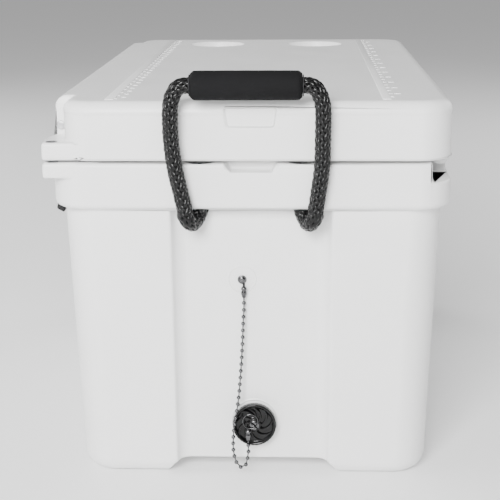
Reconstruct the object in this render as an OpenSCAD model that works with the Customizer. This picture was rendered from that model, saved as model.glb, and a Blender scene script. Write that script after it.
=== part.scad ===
// Hard-sided rotomoulded cooler with a hinged lid, rubber latches, rope carry
// handles, a tethered drain plug and two wheels under one end.
// +X is the drain end, +Y the hinge side, +Z up. The origin is on the ground
// under the middle of the tub. Lengths are in millimetres.

/* [Overall] */
// Length of the lid and of the tub's rim
length = 736; // [640:1:900]
// Width of the lid and of the tub's rim, without the lock lugs
width = 436; // [380:1:520]
// Height from the ground to the top of the lid
height = 436; // [400:1:520]

/* [Lid and rim] */
// Height of the lid from the seam to its top
lid_h = 64; // [50:1:80]
// Height of the tub's thick rim
rim_h = 52; // [46:1:64]
// Gap between the lid and the rim
seam_gap = 1.6; // [1:0.1:3]
// Corner radius of the lid and rim in plan
corner_r = 40; // [30:1:50]
// Rounding of the lid's top edge
lid_edge_r = 13; // [6:1:16]
// How far the rim stands out over the tub's walls
rim_overhang = 10; // [6:1:14]
// Thickness of the moulded plastic skin
skin = 4; // [3:0.5:6]

/* [Tub] */
// Thickness of the insulated walls at the rim
wall = 54; // [48:1:62]
// How much narrower the tub is at its foot than under the rim, each side
taper = 9; // [6:1:12]
// Height of the channel between the feet
channel_h = 16; // [12:1:20]
// Insulation under the cooler's floor
floor_t = 34; // [28:1:40]
// Half width of the recessed panel in each end
panel_half = 84; // [78:1:90]
// Depth of the recessed panel
panel_deep = 14; // [12:1:16]
// Radius of the drain bore
drain_r = 10.5; // [8:0.5:12]

/* [Wheels] */
// Radius of the wheels over their tyres
wheel_r = 70; // [60:1:80]
// Width of each wheel
wheel_w = 42; // [34:1:44]
// Radius of the steel axle
axle_r = 6; // [5:0.5:8]

/* [Rope handles] */
// Radius of the braided rope
rope_r = 8.8; // [7:0.1:9]
// Length of the foam grip
grip_len = 117; // [100:1:124]
// Radius of the foam grip
grip_r = 15.5; // [13:0.5:18]

/* [Lid fittings] */
// Diameter of the two cup holders
cup_d = 82; // [70:1:90]
// Depth of the cup holders
cup_deep = 16; // [10:1:24]
// Radius of the holes in the lock lugs
lock_r = 4.5; // [3.5:0.5:5]

/* [Hidden] */

$fn = 48;
end_x = length / 2;
side_y = width / 2;
seam_z = height - lid_h;            // underside of the lid
rim_top = seam_z - seam_gap;
rim_z = rim_top - rim_h;            // underside of the rim
tub_x = end_x - rim_overhang;       // tub walls just under the rim
tub_y = side_y - rim_overhang + 1;
in_x = end_x - wall - 2;            // inside of the tub at its mouth
in_y = side_y - wall + 1;
in_taper = 14;                      // draft of the inside walls
floor_z = channel_h + floor_t;
slope = taper / rim_z;              // draft of the tub's outside walls
eps = 0.01;

function panel_x(z) = tub_x - panel_deep - (rim_z - z) * slope;

// Hinge
hinge_y = side_y - 12.6;
hinge_z = seam_z + 1;
hinge_rod_r = 4;
knuckle_r = 10;
knuckle_w = 32;
hinge_gap = 1;                      // between neighbouring knuckles
relief_h = 22;                      // step in the rim's back edge
knuckle_x = end_x - 84;             // middle of each body knuckle

// Latches
pin_y = -side_y + 5.6;
pin_z = seam_z + 31;
pin_r = 3;
pin_head_r = 4.8;
latch_x = end_x - 105;              // middle of each latch
latch_pocket = 56;                  // width of the latch's pocket
latch_w = 36;
latch_tee_w = 50;
corner_cut = 57;                    // length of the step at the lid's front corners
corner_cut_y = side_y - 14;

// Lock lugs
lug_y = side_y + 7;
lug_h = 19;
lug_len = 50;
lug_end_x = end_x - 2;              // outer face of a lug
lug_corner_r = 6;
lock_x = lug_end_x - 10;
lock_y = -lug_y + 10;
bush_wall = 1.5;

// Drain
drain_y = 2;
drain_z = 63;
sump_x = in_x - in_taper + 2;       // flat face that the drain's seal presses on
sump_z = drain_z - 18;
sump_half = 21;
nut_t = 7;
nut_r = 16.5;
drain_pad_x = panel_x(drain_z) + 2;
flange_t = 3;
gasket_t = 1.5;
plug_t = 9.5;
plug_r = 25;
plug_face = drain_pad_x + flange_t + gasket_t + plug_t;
run_fit = 0.08;                     // clearance of a shaft in its hole
ring_r = 8.6;
ring_wire_r = 0.9;
ring_lean = 132;                    // the way the ring lies from the plug's middle
ring_y = drain_y + ring_r * 0.78 * cos(ring_lean);
ring_z = drain_z + ring_r * 0.9 * sin(ring_lean);

// Tether
anchor_y = -11;
anchor_z = 234;
anchor_x = panel_x(anchor_z);
chain_r = 2.3;
bell_r = 2.6;
bell_h = 9;
cord_gap = 0.3;                     // between a cord's cut end and the next piece
chain_route = [[346, -9, 215.7], [346, -9, 209], [347, -9, 200], [348, -10, 185],
               [349, -11, 160], [351, -13, 128],
               [353, -16, 94], [356, -20, 70], [356, -22, 50], [356, -22, 34], [356, -19, 20],
               [356, -13, 13], [356, -8, 16], [354, -5, 30], [354, -5, 41],
               [354, -5, 47.7]];

// Wheels
wheel_x = -(end_x - taper - rim_overhang - wheel_r + 4);
well_r = wheel_r + 8;
hub_r = wheel_r - 18;
wheel_out = side_y - rim_overhang - taper - 3;
wheel_in = wheel_out - wheel_w;
well_in = wheel_in - 3.5;
step_z = wheel_r + well_r + 30;     // raised floor over the wheels
step_x = wheel_x + well_r + 26;

// Rope handles
hole_in = 13.5;                     // rope hole behind the rim's end face
hole_y = 55;
knot_in = 17.5;
bend_r = (hole_in + rope_r + 1.7) / 2;
bend_u = bend_r - hole_in;          // middle of the rope's turn, from the end face
bend_z = rim_z - 8;
grip_y = -3;
grip_u = 17;
grip_z = height + 19.6;
far_grip_u = 13;
far_grip_z = rim_z - 178;
near_run_y = 70;
run_u = bend_u + bend_r;            // standing run, out from the end face

// Foam plugs, cup holders and gasket
tub_plug_x = [60, 200];
lid_plug_x = [-90, 90];
foam_plug_r = 12;
cup_pitch = 76;
cup_x = -(end_x - 84);
gasket_w = 9;
ruler_len = 700;
ruler_rows = [[-152, 10], [145.5, 9]];

// ---------------------------------------------------------------- helpers

// A rectangle with round corners
module rounded_plan(half_x, half_y, r) {
    square([2 * (half_x - r), 2 * half_y], center = true);
    square([2 * half_x, 2 * (half_y - r)], center = true);
    for (sx = [-1, 1], sy = [-1, 1])
        translate([sx * (half_x - r), sy * (half_y - r)]) circle(r);
}

module plate(half_x, half_y, r, z, h = eps) {
    translate([0, 0, z]) linear_extrude(h) rounded_plan(half_x, half_y, r);
}

// Copies at the drain end and at the wheel end
module both_ends() {
    children();
    mirror([1, 0, 0]) children();
}

module tube(outer, inner, h) {
    difference() {
        cylinder(h = h, r = outer);
        translate([0, 0, -1]) cylinder(h = h + 2, r = inner);
    }
}

module along_x(x, y, z) { translate([x, y, z]) rotate([0, 90, 0]) children(); }
module along_y(x, y, z) { translate([x, y, z]) rotate([-90, 0, 0]) children(); }

// Vector helpers for swept cords
function unit(v) = v / norm(v);
function catmull(a, b, c, d, t) =
    0.5 * (2 * b + (c - a) * t + (2 * a - 5 * b + 4 * c - d) * t * t
           + (3 * b - a - 3 * c + d) * t * t * t);
function smooth_route(p, n) = let (last = len(p) - 1)
    [for (i = [0 : last - 1], k = [0 : n - 1])
        catmull(p[max(i - 1, 0)], p[i], p[i + 1], p[min(i + 2, last)], k / n), p[last]];
function tangents(p) = [for (i = [0 : len(p) - 1])
    unit(p[min(i + 1, len(p) - 1)] - p[max(i - 1, 0)])];

// One closed tube along a route; its sides start square to the side vector
module swept_tube(route, r, sides, side) {
    t = tangents(route);
    count = len(route);
    rings = [for (i = [0 : count - 1])
        let (a = unit(side - (side * t[i]) * t[i]), b = cross(t[i], a))
        for (k = [0 : sides - 1]) route[i] + r * (cos(360 * k / sides) * a + sin(360 * k / sides) * b)];
    walls = [for (i = [0 : count - 2], k = [0 : sides - 1])
        let (n = (k + 1) % sides)
        [i * sides + k, (i + 1) * sides + k, (i + 1) * sides + n, i * sides + n]];
    polyhedron(rings, concat([[for (k = [0 : sides - 1]) k]], walls,
        [[for (k = [sides - 1 : -1 : 0]) (count - 1) * sides + k]]));
}

// ---------------------------------------------------------------- tub

module tub_block(inset) {
    hull() {
        plate(tub_x - inset, tub_y - inset, corner_r + 2, rim_z, eps, $fn = 32);
        plate(tub_x - taper - inset, tub_y - taper - inset, corner_r - 2, 20 + inset / 2, $fn = 32);
        plate(tub_x - taper - 6 - inset, tub_y - taper - 6 - inset, corner_r - 8, 6 + inset / 2, $fn = 32);
        plate(tub_x - taper - 19 - inset, tub_y - taper - 19 - inset, corner_r - 18, inset, $fn = 32);
    }
}

module rim_block(inset) {
    hull() {
        plate(end_x - 5 - inset, side_y - 5 - inset, corner_r - 5, rim_z + inset, $fn = 32);
        plate(end_x - inset, side_y - inset, corner_r, rim_z + 6 + inset / 2, $fn = 32);
        plate(end_x - inset, side_y - inset, corner_r, rim_top - 2 - inset, $fn = 32);
        plate(end_x - 2 - inset, side_y - 2 - inset, corner_r - 2, rim_top - inset - eps, $fn = 32);
    }
}

// Squared lug at a front corner, seen in plan
module lug_plan() {
    translate([lug_end_x - lug_len, -lug_y]) {
        translate([lug_corner_r, 0]) square([lug_len - 2 * lug_corner_r, lug_len + 2]);
        translate([0, lug_corner_r]) square([lug_len, lug_len - 4]);
        for (x = [lug_corner_r, lug_len - lug_corner_r]) translate([x, lug_corner_r]) circle(lug_corner_r);
    }
}

module body_lug() {
    translate([0, 0, rim_top - lug_h + 1]) linear_extrude(lug_h - 1) lug_plan();
}

// The inside of the tub, with the raised floor over the wheels
module tub_inside(grow) {
    difference() {
        hull() {
            plate(in_x + grow, in_y + grow, 34, rim_top + 1, $fn = 32);
            plate(in_x - in_taper + grow, in_y - in_taper + grow, 30, floor_z - grow, $fn = 32);
        }
        translate([-end_x, -side_y, floor_z - 20])
            cube([end_x + step_x - grow, width, step_z - floor_z + 20 - grow]);
    }
    translate([sump_x - 28 - grow, drain_y - sump_half - grow, sump_z - grow])
        cube([28 + 2 * grow, 2 * (sump_half + grow), 2 * (drain_z - sump_z) + 2 * grow]);
}

module panel_cut(grow) {
    rotate([90, 0, 0]) translate([0, 0, -panel_half - grow])
        linear_extrude(2 * (panel_half + grow))
            polygon([[panel_x(rim_z) - grow, rim_z], [tub_x + 20, rim_z],
                     [tub_x + 20, -1], [panel_x(0) - grow, -1]]);
}

// The channel between the feet, with flared sides
module channel_cut(grow) {
    translate([-end_x, 0, 0]) rotate([90, 0, 90]) linear_extrude(length)
        polygon([[-panel_half - 14 - grow, -1], [-panel_half - 12 - grow, 3],
                 [-panel_half - 4 - grow, channel_h + grow], [panel_half + 4 + grow, channel_h + grow],
                 [panel_half + 12 + grow, 3], [panel_half + 14 + grow, -1]]);
}

// Space for the wheels, and the undercut that lifts the wheel end off its feet
module wheel_wells(grow) {
    for (s = [-1, 1])
        along_y(wheel_x, s > 0 ? well_in - grow : -side_y - 1, wheel_r) {
            cylinder(h = side_y - well_in + grow + 1, r = well_r + grow);
        }
    for (s = [-1, 1])
        translate([-end_x - 1, s > 0 ? well_in - grow : -side_y - 1, -1])
            cube([end_x + 1 + wheel_x + well_r + grow, side_y - well_in + grow + 1, wheel_r + 1]);
    translate([-end_x - 1, -side_y, -1])
        cube([end_x + 1 + wheel_x + well_r + 14, width, channel_h + grow + 1]);
}

module hinge_relief(grow) {
    translate([-end_x - 1, hinge_y - knuckle_r - 1 - grow, rim_top - relief_h - grow])
        cube([length + 2, 60, relief_h + 10]);
}

module rope_holes(grow) {
    both_ends() for (s = [-1, 1]) {
        translate([end_x - hole_in, s * hole_y, rim_z - 1])
            cylinder(h = 34, r = rope_r + 0.2 + grow);
        translate([end_x - knot_in, s * hole_y, rim_top - 26 - grow])
            cylinder(h = 40, r = 14 + grow);
    }
}

// Finger notch in the top of the rim
module finger_notch() {
    rotate([90, 0, 90]) linear_extrude(24)
        polygon([[-23, rim_top - 10], [23, rim_top - 10], [31, rim_top + 1], [-31, rim_top + 1]]);
}

module latch_pocket_cut(z0, z1, deep) {
    both_ends() translate([latch_x - latch_pocket / 2, -side_y - 10, z0])
        cube([latch_pocket, deep + 10, z1 - z0]);
}

module drain_bore(r) { along_x(in_x - 60, drain_y, drain_z) cylinder(h = 140, r = r); }
module axle_bore(r) { along_y(wheel_x, -well_in - 1, wheel_r) cylinder(h = 2 * well_in + 2, r = r); }

module tub_plug_cut() {
    for (x = tub_plug_x) translate([x, 0, channel_h - 1]) cylinder(h = 1 + skin + 2, r = foam_plug_r);
}

// The foam fills the space between the tub's outer and inner skins
module tub_fill() {
    difference() {
        union() {
            tub_block(skin);
            plate(tub_x - skin, tub_y - skin, corner_r + 2 - skin, rim_z - 1, skin + 4);
            plate(end_x - skin - 2, side_y - skin - 2, corner_r - skin, rim_z + skin + 2,
                  rim_h - 2 * skin - 4);
        }
        tub_inside(skin);
        both_ends() panel_cut(skin);
        channel_cut(skin);
        wheel_wells(skin);
        hinge_relief(skin);
        rope_holes(skin);
        latch_pocket_cut(0, height, 12 + skin);
        translate([-end_x, -40 - skin, rim_top - 10 - skin]) cube([length, 80 + 2 * skin, 30]);
        translate([-31 - skin, -side_y - 1, rim_top - 10 - skin]) cube([62 + 2 * skin, 21 + skin, 30]);
        for (s = [-1, 1]) translate([s * (end_x - 30) - 30, -side_y - 1, rim_top - 40])
            cube([60, 24 + skin, 60]);
        drain_bore(drain_r + 3);
        axle_bore(axle_r + 2.5);
        along_x(anchor_x - 16, anchor_y, anchor_z) cylinder(h = 30, r = 2);
        tub_plug_cut();
    }
}

module tub_foam() { color("khaki") tub_fill(); }

module tub_skin() color("white") {
    difference() {
        union() {
            tub_block(0);
            rim_block(0);
            both_ends() body_lug();
            along_x(drain_pad_x - 12, drain_y, drain_z) cylinder(h = 12, r = 27);
        }
        tub_inside(0);
        difference() {
            both_ends() panel_cut(0);
            along_x(drain_pad_x - 12, drain_y, drain_z) cylinder(h = 12, r = 27);
        }
        channel_cut(0);
        wheel_wells(0);
        hinge_relief(0);
        rope_holes(0);
        latch_pocket_cut(rim_z - 1, height, 12);
        both_ends() translate([end_x - 20, 0, 0]) finger_notch();
        rotate([0, 0, -90]) translate([side_y - 20, 0, 0]) finger_notch();
        for (s = [-1, 1]) {
            translate([s * lock_x, lock_y, 0]) cylinder(h = height, r = lock_r + bush_wall);
            along_x(s * knuckle_x - knuckle_w, hinge_y, hinge_z)
                cylinder(h = 2 * knuckle_w, r = hinge_rod_r + 0.02);
        }
        drain_bore(drain_r + 3);
        axle_bore(axle_r + 2.5);
        along_x(anchor_x - 16, anchor_y, anchor_z) cylinder(h = 30, r = 2);
        tub_plug_cut();
        tub_fill();
    }
    for (s = [-1, 1]) difference() {
        union() {
            translate([s * knuckle_x - knuckle_w / 2, hinge_y, 0]) rotate([90, 0, 90])
                linear_extrude(knuckle_w)
                    polygon([[-knuckle_r - 3, rim_top - relief_h - 2], [knuckle_r, rim_top - relief_h - 2],
                             [knuckle_r, hinge_z], [-knuckle_r, hinge_z],
                             [-knuckle_r, rim_top - 1], [-knuckle_r - 3, rim_top - 1]]);
            along_x(s * knuckle_x - knuckle_w / 2, hinge_y, hinge_z)
                cylinder(h = knuckle_w, r = knuckle_r);
        }
        along_x(s * knuckle_x - knuckle_w, hinge_y, hinge_z)
            cylinder(h = 2 * knuckle_w, r = hinge_rod_r + 0.02);
    }
}

module tub_foam_plugs() color("white")
    for (x = tub_plug_x) translate([x, 0, channel_h]) cylinder(h = skin, r = foam_plug_r);

module bush(h) { tube(lock_r + bush_wall, lock_r, h); }

module tub_lock_bushes() color("silver")
    for (s = [-1, 1]) translate([s * lock_x, lock_y, rim_top - lug_h + 1]) bush(lug_h - 1);

// ---------------------------------------------------------------- lid

module lid_block(inset, z0) {
    hull() {
        plate(end_x - inset, side_y - inset, corner_r, z0, $fn = 32);
        plate(end_x - inset, side_y - inset, corner_r, height - lid_edge_r, $fn = 32);
        plate(end_x - inset - 0.3 * lid_edge_r, side_y - inset - 0.3 * lid_edge_r, corner_r - 4,
              height - 0.3 * lid_edge_r - inset * 0.7, $fn = 32);
        plate(end_x - inset - lid_edge_r, side_y - inset - lid_edge_r, corner_r - 12,
              height - inset, $fn = 32);
    }
}

// The step at the lid's front corners, above the lock lug
module lid_corner_cut(grow) {
    both_ends() translate([end_x - corner_cut - grow, 0, seam_z + lug_h + 1 - grow]) linear_extrude(100)
        difference() {
            translate([0, -side_y - 20]) square([corner_cut + 30 + grow, 60]);
            translate([-60, -corner_cut_y + grow]) square([60 + corner_cut - 32, 100]);
            translate([-60, -corner_cut_y + 30]) square([60 + corner_cut, 100]);
            translate([corner_cut - 31 - grow, -corner_cut_y + 31 + grow]) circle(31);
        }
}

// Pockets that clear the tub's knuckles, open to the back
module lid_hinge_pockets(grow) {
    for (s = [-1, 1]) translate([s * knuckle_x - knuckle_w / 2 - hinge_gap - grow,
                                 hinge_y - knuckle_r - 1 - grow, seam_z - 20])
        cube([knuckle_w + 2 * hinge_gap + 2 * grow, 60, 20 + knuckle_r + 3 + grow]);
}

module cup_holders(grow) {
    for (s = [-1, 1]) translate([cup_x, s * cup_pitch, height - cup_deep - grow])
        cylinder(h = 60, r1 = cup_d / 2 - 2 + grow, r2 = cup_d / 2 + 5 + grow, $fn = 72);
}
module lid_end_notch() {
    translate([end_x - 3.5, 0, 0]) rotate([90, 0, 90]) linear_extrude(20)
        polygon([[-28, height - 7], [28, height - 7], [25, height - 27], [-25, height - 27]]);
}

module lid_fill() {
    difference() {
        lid_block(skin, seam_z + skin);
        lid_corner_cut(skin);
        lid_hinge_pockets(skin);
        cup_holders(skin);
        latch_pocket_cut(0, pin_z + 16, 15 + skin);
        for (s = [-1, 1]) {
            translate([s * (end_x - 30) - 30, -side_y - 20, 0])
                cube([60, 44, seam_z + lug_h + 5]);
            translate([s * latch_x - 54, -side_y - 1, 0]) cube([108, 20, height]);
            along_x(s * knuckle_x - 60, hinge_y, hinge_z) cylinder(h = 120, r = knuckle_r + 2);
        }
        both_ends() translate([-skin, 0, 0]) lid_end_notch();
        translate([0, 0, seam_z - 1]) linear_extrude(5 + skin) gasket_ring(8);
        for (x = lid_plug_x) translate([x, 0, seam_z - 1]) cylinder(h = skin + 3, r = foam_plug_r);
    }
}

module lid_foam() { color("khaki") lid_fill(); }

module gasket_ring(extra) {
    difference() {
        rounded_plan(in_x + 6 + gasket_w + extra / 2, in_y + 6 + gasket_w + extra / 2, 42);
        rounded_plan(in_x + 6 - extra / 2, in_y + 6 - extra / 2, 34);
    }
}

module lid_skin() color("white") {
    difference() {
        union() {
            difference() {
                lid_block(0, seam_z);
                lid_hinge_pockets(0);
            }
            both_ends() translate([0, 0, seam_z]) linear_extrude(lug_h + 1) lug_plan();
            for (s = [-1, 1], k = [-1, 1])
                along_x(s * knuckle_x + k * (knuckle_w + hinge_gap) - knuckle_w / 2, hinge_y, hinge_z)
                    cylinder(h = knuckle_w, r = knuckle_r);
            lid_rulers();
        }
        lid_corner_cut(0);
        cup_holders(0);
        latch_pocket_cut(0, pin_z + 12, 15);
        both_ends() lid_end_notch();
        for (s = [-1, 1]) {
            translate([s * lock_x, lock_y, 0]) cylinder(h = height, r = lock_r + bush_wall);
            along_x(s * knuckle_x - 2 * knuckle_w, hinge_y, hinge_z)
                cylinder(h = 4 * knuckle_w, r = hinge_rod_r + run_fit);
            along_x(s * latch_x - 60, pin_y, pin_z) cylinder(h = 120, r = pin_r);
        }
        translate([0, 0, seam_z - 1]) linear_extrude(5) gasket_ring(0);
        for (x = lid_plug_x) translate([x, 0, seam_z - 1]) cylinder(h = skin + 3, r = foam_plug_r);
        lid_fill();
    }
}

// Raised measuring scales along the lid's top
module lid_rulers() {
    for (row = ruler_rows)
        translate([-ruler_len / 2, row[0] - row[1] / 2, height - 1]) cube([ruler_len, row[1], 1.8]);
}

module lid_foam_plugs() color("white")
    for (x = lid_plug_x) translate([x, 0, seam_z]) cylinder(h = skin, r = foam_plug_r);

module lid_lock_bushes() color("silver")
    for (s = [-1, 1]) translate([s * lock_x, lock_y, seam_z]) bush(lug_h + 1);

module lid_gasket() color("dimgray")
    translate([0, 0, rim_top + 0.2]) linear_extrude(seam_z + 4 - rim_top - 0.2) gasket_ring(0);

module hinge_rod(s) color("silver")
    along_x(s * knuckle_x - 1.5 * knuckle_w - 2, hinge_y, hinge_z)
        cylinder(h = 3 * knuckle_w + 4, r = hinge_rod_r);

// ---------------------------------------------------------------- latches

function pin_drop(z) = z - pin_z;

// Side view of a latch: an eye round the pin, a flat strap and a tilted pull tab
module latch_strap_side() {
    circle(r = 7);
    polygon([[-6.9, 0], [-1.1, 0], [-2.2, pin_drop(rim_z + 8)], [-7.5, pin_drop(rim_z + 8)]]);
    polygon([[-7.5, pin_drop(rim_z + 14)], [-2.2, pin_drop(rim_z + 14)], [-1.6, pin_drop(rim_z - 2)],
             [-5.5, pin_drop(rim_z - 21)], [-14.4, pin_drop(rim_z - 16)]]);
}

module latch(s) color([0.08, 0.08, 0.08]) difference() {
    union() {
        translate([s * latch_x - latch_w / 2, pin_y, pin_z]) rotate([90, 0, 90])
            linear_extrude(latch_w) latch_strap_side();
        translate([s * latch_x - latch_tee_w / 2, pin_y, pin_z]) rotate([90, 0, 90])
            linear_extrude(latch_tee_w) intersection() {
                latch_strap_side();
                translate([-40, pin_drop(rim_z - 40)]) square([60, 44]);
            }
    }
    along_x(s * latch_x - 40, pin_y, pin_z) cylinder(h = 80, r = pin_r + run_fit);
}

module latch_pin(s) color("silver") {
    along_x(s * latch_x - 48, pin_y, pin_z) cylinder(h = 96, r = pin_r);
    along_x(s * (latch_x + 48) + (s < 0 ? -2.5 : 0), pin_y, pin_z) cylinder(h = 2.5, r = pin_head_r);
}

// ---------------------------------------------------------------- drain

module drain_fitting() color([0.1, 0.1, 0.1]) {
    along_x(drain_pad_x, drain_y, drain_z) tube(22, drain_r, flange_t);
    along_x(sump_x - gasket_t - nut_t - 2, drain_y, drain_z)
        tube(drain_r + 3, drain_r, drain_pad_x + flange_t - sump_x + gasket_t + nut_t + 2);
}

module drain_nut() color([0.1, 0.1, 0.1])
    along_x(sump_x - gasket_t - nut_t, drain_y, drain_z) difference() {
        cylinder(h = nut_t, r = nut_r, $fn = 6);
        translate([0, 0, -1]) cylinder(h = nut_t + 2, r = drain_r + 3 + run_fit);
    }

module drain_seal() color([0.15, 0.15, 0.15])
    along_x(sump_x - gasket_t, drain_y, drain_z) tube(nut_r - 2, drain_r + 3, gasket_t);

module drain_plug_gasket() color([0.2, 0.2, 0.2])
    along_x(drain_pad_x + flange_t, drain_y, drain_z) tube(17, 12, gasket_t);

// Disc with a stem that closes the bore and eight ribs for the fingers
module drain_plug() color([0.06, 0.06, 0.06]) difference() {
    union() {
        along_x(plug_face - plug_t, drain_y, drain_z) {
            cylinder(h = plug_t - 3, r = plug_r);
            translate([0, 0, plug_t - 3]) tube(plug_r, plug_r - 3, 1.5);
            cylinder(h = plug_t - 1.5, r = 7);
            for (k = [0 : 7]) rotate([0, 0, 45 * k]) translate([6, -1.5, 0])
                cube([plug_r - 7, 3, plug_t - 1.5]);
        }
        along_x(plug_face - plug_t - 26, drain_y, drain_z) cylinder(h = 27, r = drain_r - run_fit);
    }
    along_x(plug_face - 12, drain_y, drain_z) cylinder(h = 20, r = 2 + run_fit);
}

// Swivel eye riveted through the middle of the plug
module tether_eye() color("silver") {
    along_x(plug_face - 11, drain_y, drain_z) cylinder(h = 11, r = 2);
    along_x(plug_face - 1.5 + run_fit, drain_y, drain_z) cylinder(h = 1.2, r = 5.6);
    translate([plug_face - 0.4, drain_y, drain_z]) rotate([ring_lean, 0, 0]) rotate([0, 90, 0])
        rotate([90, 0, 90]) rotate_extrude(angle = 180) translate([4.2, 0]) circle(r = 1.1);
}

module split_ring() color("silver")
    along_x(plug_face + 1.2, ring_y, ring_z)
        rotate_extrude() translate([ring_r, 0]) circle(r = ring_wire_r);

// ---------------------------------------------------------------- tether

module chain_screw() color("silver") {
    along_x(anchor_x - 14, anchor_y, anchor_z) cylinder(h = 14 + 4, r = 2);
    along_x(anchor_x + 1.7, anchor_y, anchor_z) cylinder(h = 2.6, r1 = 4.4, r2 = 3.2);
}

// Bell round the chain's last ball, hung from the screw by a tab
module chain_coupling_top() color("silver") {
    translate(chain_route[0] + [0, 0, cord_gap]) {
        cylinder(h = bell_h, r = bell_r);
        translate([0, 0, bell_h]) cylinder(h = 3, r1 = bell_r, r2 = 1.2);
    }
    along_x(anchor_x + 0.3, anchor_y, anchor_z) tube(5, 2 + run_fit, 1.2);
    translate([anchor_x + 0.3, anchor_y + 0.6, chain_route[0][2] + bell_h - 2]) cube([1.2, 2.8, 8]);
    translate([anchor_x + 0.3, anchor_y + 0.6, chain_route[0][2] + bell_h - 2]) cube([4, 2.8, 2]);
}

module chain_coupling_bottom() color("silver") {
    translate(chain_route[len(chain_route) - 1] + [0, 0, cord_gap]) {
        cylinder(h = bell_h, r = bell_r);
        translate([0, 0, bell_h]) cylinder(h = 2, r1 = bell_r, r2 = 1.2);
    }
}

module ball_chain() color("silver")
    swept_tube(smooth_route(chain_route, 3), chain_r, 8, [1, 0, 0]);

// ---------------------------------------------------------------- rope handles

// Rope in the rim's hole, with its stopper knot; at the drain end
module rope_ends() color([0.05, 0.05, 0.05])
    for (s = [-1, 1]) {
        translate([end_x - hole_in, s * hole_y, rim_z]) cylinder(h = 30, r = rope_r);
        translate([end_x - knot_in, s * hole_y, rim_top - 25]) {
            cylinder(h = 6, r1 = 9, r2 = 13);
            translate([0, 0, 6]) cylinder(h = 9, r = 13);
            translate([0, 0, 15]) cylinder(h = 6, r1 = 13, r2 = 9);
        }
    }

// Turn of the rope under the rim, from its hole out to the standing run
function near_bend(s) = [for (k = [0 : 6]) let (a = 180 + 30 * k)
    [end_x + bend_u + bend_r * cos(a), s * (hole_y + (near_run_y - hole_y) * k / 6),
     bend_z + bend_r * sin(a)]];

module rope_bends_near() color([0.05, 0.05, 0.05])
    for (s = [-1, 1])
        swept_tube(concat([[end_x - hole_in, s * hole_y, rim_z - cord_gap]], near_bend(s),
                          [[end_x + run_u, s * near_run_y, bend_z + 3]]), rope_r, 12, [0, 1, 0]);

function near_side(s) = [
    [end_x + run_u, s * near_run_y, bend_z + 3 + cord_gap],
    [end_x + run_u, s * near_run_y, bend_z + 8],
    [end_x + run_u, s * near_run_y, bend_z + 13],
    [end_x + run_u + 0.8, s * 73, bend_z + 28],
    [end_x + run_u + 2, s * 78, bend_z + 58],
    [end_x + run_u + 3.4, s * 80, bend_z + 90],
    [end_x + grip_u - 1, s * 80, grip_z - 28],
    [end_x + grip_u - 0.4, s * 78, grip_z - 14],
    [end_x + grip_u, s * 72, grip_z - 3],
    [end_x + grip_u, s * 64, grip_z],
    [end_x + grip_u, s * 54, grip_z],
    [end_x + grip_u, s * 20, grip_z]];
function shifted(p, y) =
    [for (q = p) [q[0], q[1] + y * min(1, max(0, (q[2] - bend_z - 13) / 77)), q[2]]];
function reversed(p) = [for (i = [len(p) - 1 : -1 : 0]) p[i]];
function both_sides(left, right) = concat(left, reversed(right));

module rope_run_near() color([0.05, 0.05, 0.05])
    swept_tube(smooth_route(both_sides(shifted(near_side(-1), grip_y), shifted(near_side(1), grip_y)), 3),
               rope_r, 12, [1, 0, 0]);

module grip_at(u, z, y) color([0.1, 0.1, 0.1])
    along_y(u, y - grip_len / 2, z) difference() {
        union() {
            cylinder(h = 5, r1 = grip_r - 4, r2 = grip_r);
            translate([0, 0, 5]) cylinder(h = grip_len - 10, r = grip_r);
            translate([0, 0, grip_len - 5]) cylinder(h = 5, r1 = grip_r, r2 = grip_r - 4);
        }
        translate([0, 0, -1]) cylinder(h = grip_len + 2, r = rope_r + 0.1);
    }

module grip_washers_at(u, z, y) color([0.2, 0.2, 0.2])
    for (s = [-1, 1]) along_y(u, y + s * (grip_len / 2 + 0.6) - 0.6, z)
        tube(rope_r + 2.4, rope_r + 0.1, 1.2);

module grip_near() { grip_at(end_x + grip_u, grip_z, grip_y); }
module grip_washers_near() { grip_washers_at(end_x + grip_u, grip_z, grip_y); }

// The handle at the wheel end hangs down
module rope_ends_far() { mirror([1, 0, 0]) rope_ends(); }

module rope_bends_far() color([0.05, 0.05, 0.05])
    for (s = [-1, 1])
        swept_tube([[-end_x + hole_in, s * hole_y, rim_z - cord_gap],
                    [-end_x + hole_in, s * hole_y, bend_z - 3]], rope_r, 12, [0, 1, 0]);

function far_side(s) = [
    [-end_x + hole_in, s * hole_y, bend_z - 3 - cord_gap],
    [-end_x + hole_in, s * hole_y, bend_z - 8],
    [-end_x + hole_in, s * hole_y, bend_z - 13],
    [-end_x + hole_in - 7, s * (hole_y + 6), bend_z - 32],
    [-end_x - 4, s * (hole_y + 16), bend_z - 60],
    [-end_x - 9, s * (hole_y + 23), bend_z - 92],
    [-end_x - far_grip_u, s * 80, far_grip_z + 28],
    [-end_x - far_grip_u, s * 78, far_grip_z + 14],
    [-end_x - far_grip_u, s * 72, far_grip_z + 3],
    [-end_x - far_grip_u, s * 64, far_grip_z],
    [-end_x - far_grip_u, s * 54, far_grip_z],
    [-end_x - far_grip_u, s * 20, far_grip_z]];

module rope_run_far() color([0.05, 0.05, 0.05])
    swept_tube(smooth_route(both_sides(far_side(-1), far_side(1)), 3), rope_r, 12, [1, 0, 0]);

module grip_far() { grip_at(-end_x - far_grip_u, far_grip_z, 0); }
module grip_washers_far() { grip_washers_at(-end_x - far_grip_u, far_grip_z, 0); }

// ---------------------------------------------------------------- wheels

module axle() color("silver")
    along_y(wheel_x, -wheel_out - 5, wheel_r) cylinder(h = 2 * wheel_out + 10, r = axle_r);

module axle_bushes() color("dimgray")
    for (s = [0, 1]) mirror([0, s, 0]) {
        along_y(wheel_x, well_in - 30, wheel_r) tube(axle_r + 2.5, axle_r, 30);
        along_y(wheel_x, well_in, wheel_r) tube(13, axle_r, 1.8);
    }

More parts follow.
